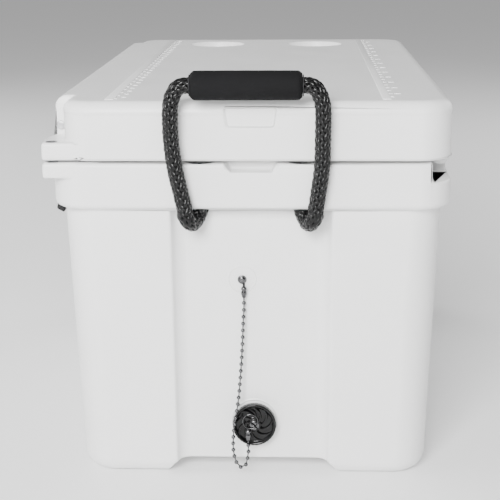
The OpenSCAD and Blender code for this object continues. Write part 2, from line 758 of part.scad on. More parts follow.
module wheel_washers() color("silver")
    for (s = [0, 1]) mirror([0, s, 0]) {
        along_y(wheel_x, wheel_in - 1.6, wheel_r) tube(11, axle_r, 1.2);
        along_y(wheel_x, wheel_out + 0.4, wheel_r) tube(11, axle_r, 1.2);
    }

module axle_caps() color("silver")
    for (s = [0, 1]) mirror([0, s, 0])
        along_y(wheel_x, wheel_out + 1.6, wheel_r) difference() {
            union() {
                cylinder(h = 3, r = 10);
                translate([0, 0, 3]) cylinder(h = 2.4, r1 = 9, r2 = 5);
            }
            translate([0, 0, -1]) cylinder(h = 1 + 3.4, r = axle_r);
        }

module wheel_hub(s) color([0.16, 0.16, 0.17]) mirror([0, s, 0])
    along_y(wheel_x, wheel_in, wheel_r) difference() {
        union() {
            tube(hub_r, hub_r - 6, wheel_w);
            cylinder(h = wheel_w, r = axle_r + 8);
            translate([0, 0, wheel_w * 0.35]) cylinder(h = wheel_w * 0.3, r = hub_r - 3);
            for (k = [0 : 5]) rotate([0, 0, 60 * k]) translate([axle_r + 5, -3, 2])
                cube([hub_r - axle_r - 8, 6, wheel_w - 4]);
        }
        translate([0, 0, -1]) cylinder(h = wheel_w + 2, r = axle_r + run_fit);
    }

module tyre(s) color([0.09, 0.09, 0.09]) mirror([0, s, 0])
    along_y(wheel_x, wheel_in, wheel_r) rotate_extrude() {
        translate([hub_r, 0]) square([wheel_r - hub_r - 5, wheel_w]);
        translate([hub_r, 5]) square([wheel_r - hub_r, wheel_w - 10]);
        for (z = [5, wheel_w - 5]) translate([wheel_r - 5, z]) circle(r = 5);
    }

// ---------------------------------------------------------------- nodes

tub_skin();
tub_foam();
tub_foam_plugs();
tub_lock_bushes();
lid_skin();
lid_foam();
lid_foam_plugs();
lid_lock_bushes();
lid_gasket();
hinge_rod(1);  // hinge_rod_near
hinge_rod(-1);  // hinge_rod_far
latch(1);  // latch_near
latch(-1);  // latch_far
latch_pin(1);  // latch_pin_near
latch_pin(-1);  // latch_pin_far
drain_fitting();
drain_nut();
drain_seal();
drain_plug();
drain_plug_gasket();
tether_eye();
split_ring();
chain_screw();
chain_coupling_top();
chain_coupling_bottom();
ball_chain();
rope_ends();  // rope_ends_near
rope_bends_near();
rope_run_near();
grip_near();
grip_washers_near();
rope_ends_far();
rope_bends_far();
rope_run_far();
grip_far();
grip_washers_far();
axle();
axle_bushes();
wheel_washers();
axle_caps();
wheel_hub(1);  // wheel_hub_front
wheel_hub(0);  // wheel_hub_back
tyre(1);  // tyre_front
tyre(0);  // tyre_back
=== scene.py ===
import math
import bmesh
import bpy
from mathutils import Matrix, Vector
from mathutils.kdtree import KDTree


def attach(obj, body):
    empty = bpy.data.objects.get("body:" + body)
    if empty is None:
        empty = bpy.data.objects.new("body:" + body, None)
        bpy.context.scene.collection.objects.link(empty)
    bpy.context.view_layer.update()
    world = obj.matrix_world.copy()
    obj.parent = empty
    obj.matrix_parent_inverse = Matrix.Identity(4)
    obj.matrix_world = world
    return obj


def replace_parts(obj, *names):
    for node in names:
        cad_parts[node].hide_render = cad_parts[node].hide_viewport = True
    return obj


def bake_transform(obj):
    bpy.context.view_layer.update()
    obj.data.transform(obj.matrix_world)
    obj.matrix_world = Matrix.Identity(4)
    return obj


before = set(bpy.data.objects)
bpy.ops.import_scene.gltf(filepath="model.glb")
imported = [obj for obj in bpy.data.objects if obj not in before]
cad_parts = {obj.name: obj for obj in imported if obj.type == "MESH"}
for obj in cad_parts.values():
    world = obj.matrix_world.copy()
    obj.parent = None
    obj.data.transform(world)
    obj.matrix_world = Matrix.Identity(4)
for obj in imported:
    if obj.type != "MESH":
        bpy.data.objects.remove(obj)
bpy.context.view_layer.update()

# ---- Camera -----------------------------------------------------------------
# A long lens a little above the lid, square on to the drain end.
camera = bpy.data.objects.new("camera", bpy.data.cameras.new("camera"))
bpy.context.scene.collection.objects.link(camera)
camera.data.lens = 88.56
camera.data.sensor_width = 36
camera.data.dof.use_dof = False
turn = Matrix.Rotation(math.radians(92.33), 4, "Z") @ Matrix.Rotation(math.radians(75.175), 4, "X")
camera.matrix_world = (Matrix.Translation((1.6585, 0.0516, 0.6167)) @ turn
                       @ Matrix.Rotation(math.radians(-0.4), 4, "Z"))
bpy.context.scene.camera = camera


# ---- Ball chain -------------------------------------------------------------
# A stainless ball chain that keeps the drain plug on the cooler. Hollow balls
# are crimped on short wire links; it hangs in a loop below the plug.
def smooth_route(points, spacing):
    """Points an even distance apart on a smooth curve through the given ones."""
    fine = []
    last = len(points) - 1
    for i in range(last):
        a, b, c, d = (Vector(points[j]) for j in (max(i - 1, 0), i, i + 1, min(i + 2, last)))
        for k in range(24):
            t = k / 24
            fine.append(0.5 * (2 * b + (c - a) * t + (2 * a - 5 * b + 4 * c - d) * t * t
                               + (3 * b - a - 3 * c + d) * t ** 3))
    fine.append(Vector(points[-1]))
    lengths = [0.0]
    for a, b in zip(fine, fine[1:]):
        lengths.append(lengths[-1] + (b - a).length)
    count = max(2, round(lengths[-1] / spacing))
    even, j = [], 0
    for i in range(count + 1):
        want = lengths[-1] * i / count
        while j < len(fine) - 2 and lengths[j + 1] < want:
            j += 1
        span = lengths[j + 1] - lengths[j]
        even.append(fine[j].lerp(fine[j + 1], (want - lengths[j]) / span if span else 0))
    return even, lengths[-1]


def aimed(start, end):
    """The matrix that puts local Z from start to end, at the middle."""
    way = Vector(end) - Vector(start)
    return Matrix.Translation((Vector(start) + Vector(end)) / 2) @ way.to_track_quat("Z",
                                                                                     "Y").to_matrix().to_4x4()


def make_piece(name, bm, material, body):
    """A mesh piece from a bmesh in millimetres, riding on a body."""
    bmesh.ops.scale(bm, vec=(0.001, 0.001, 0.001), verts=bm.verts)
    bmesh.ops.recalc_face_normals(bm, faces=bm.faces)
    mesh = bpy.data.meshes.new(name)
    bm.to_mesh(mesh)
    bm.free()
    mesh.polygons.foreach_set("use_smooth", [True] * len(mesh.polygons))
    mesh.materials.append(material)
    piece = bpy.data.objects.new(name, mesh)
    bpy.context.scene.collection.objects.link(piece)
    if body:
        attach(piece, body)
    return piece


def sharp_edges(piece, degrees=35):
    """Keeps creases crisp where faces meet at more than this angle."""
    mesh = piece.data
    bm = bmesh.new()
    bm.from_mesh(mesh)
    for edge in bm.edges:
        if len(edge.link_faces) == 2 and edge.calc_face_angle(0) > math.radians(degrees):
            edge.smooth = False
    bm.to_mesh(mesh)
    bm.free()


def surface_material(name, colour, roughness, grain, depth, metallic=0.0, mottle=0.06, wear=0.0, shine=0.5):
    """A moulded or turned surface: mottled colour, uneven gloss, grain of a size in metres, worn edges."""
    material = bpy.data.materials.new(name)
    material.use_nodes = True
    nodes, links = material.node_tree.nodes, material.node_tree.links
    shader = nodes["Principled BSDF"]
    coords = nodes.new("ShaderNodeTexCoord")
    place = nodes.new("ShaderNodeMapping")
    links.new(coords.outputs["Object"], place.inputs["Vector"])
    broad = nodes.new("ShaderNodeTexNoise")
    broad.inputs["Scale"].default_value = 18
    broad.inputs["Detail"].default_value = 4
    fine = nodes.new("ShaderNodeTexNoise")
    fine.inputs["Scale"].default_value = 1 / grain
    fine.inputs["Detail"].default_value = 5
    for texture in (broad, fine):
        links.new(place.outputs["Vector"], texture.inputs["Vector"])
    tint = nodes.new("ShaderNodeValToRGB")
    tint.color_ramp.elements[0].position = 0.3
    tint.color_ramp.elements[0].color = [c * (1 - mottle) for c in colour] + [1]
    tint.color_ramp.elements[1].position = 0.7
    tint.color_ramp.elements[1].color = [min(1, c * (1 + mottle)) for c in colour] + [1]
    links.new(broad.outputs["Fac"], tint.inputs["Fac"])
    worn = nodes.new("ShaderNodeMix")
    worn.data_type = "RGBA"
    geometry = nodes.new("ShaderNodeNewGeometry")
    edge = nodes.new("ShaderNodeMapRange")
    edge.inputs["From Min"].default_value = 0.52
    edge.inputs["From Max"].default_value = 0.62
    edge.inputs["To Max"].default_value = wear
    links.new(geometry.outputs["Pointiness"], edge.inputs["Value"])
    links.new(edge.outputs["Result"], worn.inputs["Factor"])
    links.new(tint.outputs["Color"], worn.inputs["A"])
    worn.inputs["B"].default_value = [min(1, c * 1.6 + 0.08) for c in colour] + [1]
    links.new(worn.outputs["Result"], shader.inputs["Base Color"])
    gloss = nodes.new("ShaderNodeMapRange")
    gloss.inputs["To Min"].default_value = roughness * 0.8
    gloss.inputs["To Max"].default_value = min(1, roughness * 1.25)
    links.new(broad.outputs["Fac"], gloss.inputs["Value"])
    links.new(gloss.outputs["Result"], shader.inputs["Roughness"])
    bump = nodes.new("ShaderNodeBump")
    bump.inputs["Strength"].default_value = 1
    bump.inputs["Distance"].default_value = depth
    links.new(fine.outputs["Fac"], bump.inputs["Height"])
    links.new(bump.outputs["Normal"], shader.inputs["Normal"])
    shader.inputs["Metallic"].default_value = metallic
    shader.inputs["Specular IOR Level"].default_value = shine
    return material


polished = surface_material("polished_steel", (0.11, 0.11, 0.113), 0.15, 0.0006, 0.00001, metallic=1.0)
chain_route = [(346, -9, 215.7), (346, -9, 209), (347, -9, 200), (348, -10, 185), (349, -11, 160),
               (351, -13, 128), (353, -16, 94), (356, -20, 70), (356, -22, 50), (356, -22, 34),
               (356, -19, 20), (356, -13, 13), (356, -8, 16), (354, -5, 30), (354, -5, 41), (354, -5, 47.7)]
ball_pitch, ball_r, link_r = 8.0, 2.4, 0.8
balls, chain_length = smooth_route(chain_route, ball_pitch)
bm = bmesh.new()
for spot in balls:
    bmesh.ops.create_icosphere(bm, subdivisions=3, radius=ball_r, matrix=Matrix.Translation(spot))
for a, b in zip(balls, balls[1:]):
    bmesh.ops.create_cone(bm, cap_ends=True, segments=8, radius1=link_r, radius2=link_r,
                          depth=(b - a).length, matrix=aimed(a, b))
chain = make_piece("drain_chain", bm, polished, "tub")
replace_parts(chain, "ball_chain")


# The bell couplings close round the end balls; the upper one has a tab under
# the screw, the lower one a loop on the split ring. Drawn brass, nickel plated.
def turned(bm, profile, matrix, segments=32):
    """Spins a profile of (radius, height) pairs about the matrix's own Z axis."""
    dots = [bm.verts.new(matrix @ Vector((r, 0, z))) for r, z in profile]
    lines = [bm.edges.new(pair) for pair in zip(dots, dots[1:])]
    axis = matrix.to_3x3() @ Vector((0, 0, 1))
    bmesh.ops.spin(bm, geom=dots + lines, cent=matrix.translation, axis=axis, angle=math.tau,
                   steps=segments, use_merge=True, use_duplicate=False)
    bmesh.ops.remove_doubles(bm, verts=bm.verts, dist=0.0005)


def place(x, y, z, axis="Z", angle=0):
    """The matrix that stands local Z along an axis at a point, in millimetres."""
    tilt = {"X": Matrix.Rotation(math.pi / 2, 4, "Y"), "-X": Matrix.Rotation(-math.pi / 2, 4, "Y"),
            "Y": Matrix.Rotation(-math.pi / 2, 4, "X"), "-Y": Matrix.Rotation(math.pi / 2, 4, "X"),
            "Z": Matrix.Identity(4)}[axis]
    return Matrix.Translation((x, y, z)) @ tilt @ Matrix.Rotation(angle, 4, "Z")


def box(bm, low, high, edge=0.0, segments=3, along=None):
    """A block between two corners, its edges rounded, or only those along one axis."""
    made = bmesh.ops.create_cube(bm, size=1, matrix=Matrix.Translation((Vector(low) + Vector(high)) / 2)
                                 @ Matrix.Diagonal([*(Vector(high) - Vector(low)), 1]))["verts"]
    if edge:
        edges = {e for v in made for e in v.link_edges}
        if along is not None:
            axis = "XYZ".index(along)
            edges = {e for e in edges if abs((e.verts[0].co - e.verts[1].co).normalized()[axis]) > 0.9}
        made = bmesh.ops.bevel(bm, geom=list(edges), offset=edge, segments=segments, affect="EDGES",
                               profile=0.5, material=-1)["verts"]
    return made


bell = [(0.9, 12.2), (1.3, 11.6), (2.2, 10.4), (3.1, 9.2), (3.3, 7.8), (2.5, 6.6), (2.5, 6.0), (3.2, 4.8),
        (3.2, 2.2), (2.5, 0.6),
        (2.1, 0.0), (1.9, 0.6), (0, 0.6)]
bm = bmesh.new()
turned(bm, [(0, 12.3)] + bell, place(346, -9, 216))
box(bm, (341.9, -10.3, 225), (343.0, -7.7, 233), 0.3)
box(bm, (342, -10.3, 225), (346, -7.7, 227), 0.3)
turned(bm, [(2.1, 0), (4.8, 0), (5, 0.25), (5, 0.9), (4.8, 1.2), (2.1, 1.2), (2.1, 0)],
       place(341.95, -11, 234, "X"))
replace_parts(make_piece("chain_bell_top", bm, polished, "tub"), "chain_coupling_top")
bm = bmesh.new()
turned(bm, [(0, 12.3)] + bell, place(354, -5, 48))
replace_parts(make_piece("chain_bell_bottom", bm, polished, "tub"), "chain_coupling_bottom")
[c / 1000 for c in chain_route[0]]
[tuple(p / 1000) for p in smooth_route(chain_route, 4)[0]]


# ---- Tub --------------------------------------------------------------------
# The tub is one rotomoulded shell of white polyethylene with a foam-filled
# double wall: feet, tapered walls, a thick rim with lock lugs and the chamber.
white = surface_material("white_polyethylene", (0.86, 0.86, 0.855), 0.36, 0.0011, 0.000035, mottle=0.012,
                         wear=0.15)
HALF_X, SEAM, RIM_TOP, RIM_LOW = 368, 372.6, 369.5, 318.4
AXLE_X, AXLE_Z = -283, 70


def ring(bm, half_x, half_y, radius, z, shift_y=0, corner=10):
    """A level rounded rectangle of edges; radius may be (front, back)."""
    front, back = radius if isinstance(radius, tuple) else (radius, radius)
    verts = bmesh.ops.create_circle(bm, segments=4 * corner, radius=1)["verts"]
    bmesh.ops.rotate(bm, verts=verts, cent=(0, 0, 0), matrix=Matrix.Rotation(math.pi / (4 * corner), 3, "Z"))
    for v in verts:
        r = front if v.co.y < 0 else back
        v.co.x = math.copysign(half_x - r, v.co.x) + r * v.co.x
        v.co.y = math.copysign(half_y - r, v.co.y) + r * v.co.y + shift_y
        v.co.z = z
    return list({e for v in verts for e in v.link_edges})


def loft(bm, rings):
    """Skins rings made one after another, and closes both ends."""
    for a, b in zip(rings, rings[1:]):
        bmesh.ops.bridge_loops(bm, edges=a + b)
    bmesh.ops.contextual_create(bm, geom=rings[0])
    bmesh.ops.contextual_create(bm, geom=rings[-1])


def arc(cx, cz, radius, start, end, steps=6):
    """Points (out, up) on an arc, angles in degrees from straight out."""
    return [(cx + radius * math.cos(math.radians(start + (end - start) * k / steps)),
             cz + radius * math.sin(math.radians(start + (end - start) * k / steps)))
             for k in range(steps + 1)]


def carve(piece, cutters):
    """Applies booleans in turn: each is (bmesh in millimetres, 'DIFFERENCE' or 'UNION')."""
    helpers = []
    for cutter, mode in cutters:
        helper = make_piece("cutter", cutter, piece.data.materials[0], None)
        helpers.append(helper)
        step = piece.modifiers.new("cut", "BOOLEAN")
        step.operation, step.solver, step.object = mode, "EXACT", helper
    bpy.context.view_layer.update()
    mesh = bpy.data.meshes.new_from_object(piece.evaluated_get(bpy.context.evaluated_depsgraph_get()))
    piece.modifiers.clear()
    skin = bmesh.new()
    skin.from_mesh(mesh)
    bmesh.ops.remove_doubles(skin, verts=skin.verts, dist=0.000001)
    bmesh.ops.recalc_face_normals(skin, faces=skin.faces)
    skin.to_mesh(mesh)
    skin.free()
    piece.data = mesh
    for helper in helpers:
        bpy.data.objects.remove(helper)


def solid(make, *args, **options):
    """A new bmesh holding one shape."""
    bm = bmesh.new()
    make(bm, *args, **options)
    return bm


def round_edges(piece, width, angle=38, segments=3):
    """Breaks the creases that the cuts left, as the mould's draft and radii do."""
    bevel = piece.modifiers.new("radii", "BEVEL")
    bevel.width, bevel.segments = width / 1000, segments
    bevel.limit_method, bevel.angle_limit = "ANGLE", math.radians(angle)
    bevel.use_clamp_overlap = False
    bevel.miter_outer = "MITER_ARC"
    normals = piece.modifiers.new("even_shading", "WEIGHTED_NORMAL")
    normals.weight = 100


bm = bmesh.new()
walls = []
for out, up in arc(0, 19, 19, -90, 0, 6):                       # foot radius, then the drafted wall
    walls.append(ring(bm, 330 + out, 181 + out, 22 + out, up))
for z in (110, 215, 316):
    grow = 9 * (z - 19) / 299
    walls.append(ring(bm, 349 + grow, 200 + grow, 41, z))
walls.append(ring(bm, 359.2, 210.2, 42, RIM_LOW))
for out, up in arc(361, RIM_LOW + 7, 7, -90, 0, 5):             # rolled lower edge of the rim
    walls.append(ring(bm, out, out - 150, out - 328, up))
for out, up in arc(364.2, RIM_TOP - 3.8, 3.8, 0, 90, 5):
    walls.append(ring(bm, out, out - 150, out - 328, up))
for out, up in arc(316, RIM_TOP - 4, 4, 90, 180, 4):            # mouth of the chamber
    walls.append(ring(bm, out, out - 147, 34, up))
for z, half, r in ((220, 305.5, 32), (84, 299.6, 31)):
    walls.append(ring(bm, half, half - 147, r, z))
for out, up in arc(281, 67, 17, 0, -90, 5):
    walls.append(ring(bm, out, out - 147, out - 267, up))
loft(bm, walls)
tub = make_piece("tub_shell", bm, white, "tub")


def tube_solid(bm, radius, depth, matrix, segments=48, radius2=None):
    """A capped cylinder or cone standing on the matrix's origin."""
    bmesh.ops.create_cone(bm, cap_ends=True, segments=segments, radius1=radius,
                          radius2=radius if radius2 is None else radius2, depth=depth,
                          matrix=matrix @ Matrix.Translation((0, 0, depth / 2)))


cuts = [(solid(box, (-330, -180, 30), (-179, 180, 178), 9, 4), "UNION")]        # floor over the wheels
for s in (-1, 1):                                               # recessed panel in each end
    bm = bmesh.new()
    box(bm, (min(s * 339, s * 400), -84, -60), (max(s * 339, s * 400), 84, RIM_LOW - 0.02))
    inner = [v for v in bm.verts if abs(v.co.x) < 350]
    for v in bm.verts:
        v.co.y = math.copysign(81 if v in inner else 112, v.co.y)
        if v in inner:
            v.co.x = s * (344 - (RIM_LOW - v.co.z) * 0.02827)
    upright = [e for e in bm.edges if all(v in inner
                                          for v in e.verts) and abs((e.verts[0].co - e.verts[1].co).z) > 50]
    bmesh.ops.bevel(bm, geom=upright, offset=9, segments=6, affect="EDGES", profile=0.5, material=-1)
    cuts.append((bm, "DIFFERENCE"))
bm = bmesh.new()                                                # channel between the feet
box(bm, (-400, -88, -20), (400, 88, 16))
for v in bm.verts:
    if v.co.z < 0:
        v.co.y = math.copysign(113, v.co.y)
bmesh.ops.bevel(bm, geom=[e for e in bm.edges
                          if abs(e.verts[0].co.x - e.verts[1].co.x) > 100 and e.verts[0].co.z > 0],
                offset=5, segments=4, affect="EDGES", profile=0.5, material=-1)
cuts.append((bm, "DIFFERENCE"))
for s in (-1, 1):                                               # wheel wells
    low, high = sorted((s * 150.5, s * 230))
    cuts.append((solid(tube_solid, 78, high - low, place(AXLE_X, low, AXLE_Z, "Y"), 72), "DIFFERENCE"))
    cuts.append((solid(box, (-400, low, -20), (-205, high, 70)), "DIFFERENCE"))
cuts.append((solid(box, (-400, -230, -20), (-191, 230, 16)), "DIFFERENCE"))
cuts.append((solid(box, (272, -19, 45), (300, 23, 81), 3), "DIFFERENCE"))       # sump at the drain
cuts.append((solid(box, (-400, 194.4, 348.4), (400, 240, 380), 3, 3, "X"), "DIFFERENCE"))
for s in (-1, 1):
    block = solid(box, (s * 284 - 16, 192, 344), (s * 284 + 16, 215.4, 373), 0)
    cuts.append((block, "UNION"))
    cuts.append((solid(tube_solid, 10, 32, place(s * 284 - 16, 205.4, 373, "X")), "UNION"))
    cuts.append((solid(box, (min(s * 316, s * 366), -225, 352.4), (max(s * 316, s * 366), -160, 370), 4, 4),
                 "UNION"))
    cuts.append((solid(box, (s * 263 - 28, -240, 317.4), (s * 263 + 28, -206, 380), 2.5, 3, "Z"),
                 "DIFFERENCE"))
    bm = bmesh.new()                                            # finger notch in each end of the rim
    box(bm, (min(s * 348, s * 380), -31, 360.4), (max(s * 348, s * 380), 31, 374))
    for v in bm.verts:
        if v.co.z < 365:
            v.co.y = math.copysign(23, v.co.y)
    bmesh.ops.bevel(bm, geom=[e for e in bm.edges if e.verts[0].co.z < 365 and e.verts[1].co.z < 365],
                    offset=2.5,
                    segments=3, affect="EDGES", profile=0.5, material=-1)
    cuts.append((bm, "DIFFERENCE"))
    for t in (-1, 1):
        cuts.append((solid(tube_solid, 9.2, 40, place(s * 354.5, t * 55, 312), 32), "DIFFERENCE"))
        cuts.append((solid(tube_solid, 14, 40, place(s * 350.5, t * 55, 344.4), 32), "DIFFERENCE"))
    cuts.append((solid(tube_solid, 6.02, 60, place(s * 356, -215, 330), 32), "DIFFERENCE"))
bm = bmesh.new()
box(bm, (-31, -230, 360.4), (31, -198, 374))
for v in bm.verts:
    if v.co.z < 365:
        v.co.x = math.copysign(23, v.co.x)
cuts.append((bm, "DIFFERENCE"))
for x in (60, 200):
    cuts.append((solid(tube_solid, 12.1, 12, place(x, 0, 8)), "DIFFERENCE"))
cuts.append((solid(tube_solid, 26, 14, place(324.8, 2, 63, "X"), 64), "UNION"))
cuts.append((solid(tube_solid, 13.52, 100, place(270, 2, 63, "X"), 48), "DIFFERENCE"))
cuts.append((solid(tube_solid, 8.52, 400, place(AXLE_X, -200, AXLE_Z, "Y"), 40), "DIFFERENCE"))
carve(tub, cuts)
round_edges(tub, 2.2)
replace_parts(tub, "tub_skin")

# A raised moulding circle marks where the chain's screw goes in.
bm = bmesh.new()
turned(bm, [(15.4 + 0.9 * math.cos(a * math.tau / 10), 0.9 * math.sin(a * math.tau / 10)) for a in range(11)],
       place(341.5, -11, 234, "X") @ Matrix.Rotation(math.radians(1.6), 4, "Y"), 64)
make_piece("screw_circle", bm, white, "tub")


# ---- Lid --------------------------------------------------------------------
# The lid is a second rotomoulded shell, flat on top, with rounded edges, two
# cup holders, pockets for the latches and hinges, and raised measuring scales.
LID_TOP = 436
bm = bmesh.new()
rings = [ring(bm, HALF_X - 1.5, 209.5, (29.5, 38.5), SEAM, 7), ring(bm, HALF_X, 211, (31, 40), SEAM + 1.5, 7)]
rings.append(ring(bm, HALF_X - 0.9, 210.1, (30.1, 39.1), 378, 7))
rings.append(ring(bm, HALF_X - 0.9, 210.1, (30.1, 39.1), 421.6, 7))
for out, up in arc(-13, LID_TOP - 13, 13, 0, 90, 8):            # a fine bead where the top edge starts
    rings.append(ring(bm, HALF_X + out, 211 + out, (31 + out, 40 + out), up, 7))
loft(bm, rings)
lid = make_piece("lid_shell", bm, white, "lid")
cuts = []
bm = bmesh.new()                                                # front block between the lugs
rings = [ring(bm, 311, 109, 3, SEAM + 0.1, -109), ring(bm, 311, 109, 3, 391, -109)]
for out, up in arc(-13, LID_TOP - 13, 13, 0, 90, 8):
    rings.append(ring(bm, 311 + 0.3 * out, 109 + out, 3, up - 0.01, -109))
loft(bm, rings)
cuts.append((bm, "UNION"))
for s in (-1, 1):
    low, high = sorted((s * 309, s * 366))
    cuts.append((solid(box, (low, -225, SEAM - 0.2), (high, -160, 392), 4, 4), "UNION"))
    for k in (-1, 1):
        cuts.append((solid(tube_solid, 10, 32, place(s * 284 + k * 33 - 16, 205.4, 373, "X")), "UNION"))
    cuts.append((solid(box, (s * 284 - 17, 194.4, 352), (s * 284 + 17, 260, 386), 3, 3, "X"), "DIFFERENCE"))
    cuts.append((solid(box, (s * 263 - 28, -240, 360), (s * 263 + 28, -203, 415), 2.5, 3, "Z"), "DIFFERENCE"))
    cuts.append((solid(tube_solid, 39, 30, place(-284, s * 76, 420), 96, 42.5), "DIFFERENCE"))
    cuts.append((solid(tube_solid, 6.02, 60, place(s * 356, -215, 350), 32), "DIFFERENCE"))
    cuts.append((solid(tube_solid, 12.1, 12, place(s * 90, 0, 364)), "DIFFERENCE"))
    bm = bmesh.new()                                            # shallow notch in each end
    box(bm, (min(s * 364.5, s * 400), -28, 409), (max(s * 364.5, s * 400), 28, 429))
    for v in bm.verts:
        if v.co.z < 415:
            v.co.y = math.copysign(25, v.co.y)
    bmesh.ops.bevel(bm, geom=[e for e in bm.edges if abs(e.verts[0].co.x - e.verts[1].co.x) > 20], offset=3,
                    segments=4, affect="EDGES", profile=0.5, material=-1)
    cuts.append((bm, "DIFFERENCE"))
bm = bmesh.new()
loft(bm, [ring(bm, 327, 180, 42, 360), ring(bm, 327, 180, 42, 376)])
cuts.append((bm, "DIFFERENCE"))
bm = bmesh.new()
loft(bm, [ring(bm, 318, 171, 34, 372.02), ring(bm, 318, 171, 34, 380)])
cuts.append((bm, "UNION"))
carve(lid, cuts)
round_edges(lid, 2.2)
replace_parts(lid, "lid_skin")

# The scales are raised bands along the top with inch and centimetre dashes,
# moulded in one with the lid and without figures.
bm = bmesh.new()
for middle, half in ((-152, 5), (145.5, 4.5)):
    box(bm, (-350, middle - half, 435), (350, middle + half, 436.75), 0.6, 2)
for k in range(-13, 14):
    inch = k * 25.4
    box(bm, (inch - 0.9, -141.5, 435), (inch + 0.9, -136, 436.6), 0.3, 1)
    box(bm, (inch + 11.8, -147.5, 435), (inch + 13.6, -144, 436.6), 0.3, 1)
    box(bm, (inch - 0.9, 149.5, 435), (inch + 0.9, 154.5, 436.6), 0.3, 1)
    if k % 2 == 0:
        box(bm, (inch - 1, 156.5, 435), (inch + 1, 163.5, 436.6), 0.3, 1)
make_piece("lid_scales", bm, white, "lid")

# ---- Gasket, foam and lock bushes -------------------------------------------
# A soft seal sits in a groove under the lid; foam fills both double walls; the
# filling holes have white plugs, and steel bushes line the lock holes.
seal = surface_material("gasket_rubber", (0.012, 0.012, 0.013), 0.62, 0.0012, 0.00004, wear=0.1, shine=0.3)
foam = surface_material("wall_foam", (0.72, 0.62, 0.38), 0.92, 0.002, 0.0003, mottle=0.12)
steel = surface_material("brushed_steel", (0.6, 0.6, 0.61), 0.3, 0.0004, 0.00002, metallic=1.0)
finishes = {"lid_gasket": seal, "tub_foam": foam, "lid_foam": foam, "tub_foam_plugs": white,
            "lid_foam_plugs": white,
            "tub_lock_bushes": steel, "lid_lock_bushes": steel}
for name, finish in finishes.items():
    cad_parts[name].data.materials[0] = finish

# ---- Hinges and latch pins --------------------------------------------------
# Long stainless rods run through the hinge knuckles, and a short one with a
# pressed head through each latch, all ground to a fine satin finish.
for name in ("hinge_rod_near", "hinge_rod_far"):
    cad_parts[name].data.materials[0] = steel
for s, side in ((1, "near"), (-1, "far")):
    bm = bmesh.new()
    turned(bm, [(0, 0), (2.6, 0), (3, 0.4), (3, 96), (4.4, 96.1), (4.8, 96.6), (4.8, 97.6), (4.3, 98.2),
                (2.4, 98.5),
                (0, 98.5)], place(s * 215, -212.4, 403, "X" if s > 0 else "-X"))
    pin = make_piece("latch_pin_" + side + "_turned", bm, steel, "lid")
    sharp_edges(pin)
    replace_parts(pin, "latch_pin_" + side)

# ---- Latches ----------------------------------------------------------------
# Each latch is one moulding of black rubber: an eye round the pin, a strap with
# raised borders that stretches, and a ribbed tee that hooks under the rim.
rubber = surface_material("latch_rubber", (0.007, 0.007, 0.0075), 0.5, 0.0009, 0.00004, mottle=0.15, wear=0.1,
                          shine=0.3)


def side_profile(bm, points, low, high, edge=1.2):
    """A solid from a (Y, Z) outline, as wide as low to high along X."""
    verts = [bm.verts.new((low, y, z)) for y, z in points]
    face = bm.faces.new(verts)
    made = bmesh.ops.extrude_face_region(bm, geom=[face])["geom"]
    bmesh.ops.translate(bm, vec=(high - low, 0, 0),
                        verts=[v for v in made if isinstance(v, bmesh.types.BMVert)])
    bmesh.ops.recalc_face_normals(bm, faces=bm.faces)
    bmesh.ops.bevel(bm, geom=bm.edges[:], offset=edge, segments=2, affect="EDGES", profile=0.5, material=-1)


for s, side in ((1, "near"), (-1, "far")):
    mid = s * 263
    bm = bmesh.new()
    tube_solid(bm, 7, 36, place(mid - 18, -212.4, 403, "X"), 40)
    latch = make_piece("latch_" + side + "_moulded", bm, rubber, "latch_" + side)
    cuts = [(solid(side_profile, [(-219.2, 403), (-213.5, 403), (-214.6, 326), (-219.8, 326)], mid - 17,
                   mid + 17), "UNION")]
    tee = [(-219.9, 333), (-214.6, 333), (-214.4, 320), (-214.0, 316.4), (-217.9, 297.5), (-226.6, 302.2),
           (-220.6, 322)]
    cuts.append((solid(side_profile, tee, mid - 25, mid + 25, 1.8), "UNION"))
    for edge in (-1, 1):                                        # raised borders of the strap
        low, high = sorted((mid + edge * 13.5, mid + edge * 17.6))
        cuts.append((solid(side_profile, [(-220.2, 399), (-215.5, 399), (-216.5, 330), (-220.9, 330)], low,
                           high, 1), "UNION"))
    for k in range(5):                                          # ribs across the strap and the pull tab
        z = 386 - 11 * k
        cuts.append((solid(box, (mid - 11, -220.6, z - 1.5), (mid + 11, -216, z + 1.5), 0.9, 2), "UNION"))
    for k in range(3):
        y, z = -222.2 - 1.5 * k, 315.6 - 4.6 * k
        cuts.append((solid(box, (mid - 20, y - 1.0, z - 1.1), (mid + 20, y + 4, z + 1.1), 0.8, 2), "UNION"))
    cuts.append((solid(tube_solid, 3.08, 60, place(mid - 30, -212.4, 403, "X"), 32), "DIFFERENCE"))
    carve(latch, cuts)
    round_edges(latch, 0.5, segments=2)
    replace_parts(latch, "latch_" + side)

# ---- Drain ------------------------------------------------------------------
# The drain is a glass-filled nylon tube clamped by a nut inside the sump; a
# screw plug with curved finger ribs closes it against a rubber ring.
nylon = surface_material("drain_nylon", (0.008, 0.008, 0.0085), 0.3, 0.0007, 0.00002, mottle=0.12, wear=0.1)
plug_black = surface_material("plug_black", (0.0015, 0.0015, 0.0016), 0.16, 0.0008, 0.000012, mottle=0.1,
                              wear=0.02, shine=0.32)
drain_at = place(338.78, 2, 63, "X")
bm = bmesh.new()
thread = [(13.4 + (0.25 if k % 2 else -0.25), -48 + k * 1.0) for k in range(20)]
turned(bm, [(10.5, -49.2), (12.8, -49.2)] + thread
       + [(13.45, -28), (13.45, 0), (20.6, 0), (21.6, 0.4), (22, 1.2), (22, 2),
            (21.4, 2.8), (20.4, 3), (10.5, 3), (10.5, -49.2)], drain_at, 64)
fitting = make_piece("drain_tube", bm, nylon, "tub")
sharp_edges(fitting)
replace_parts(fitting, "drain_fitting")
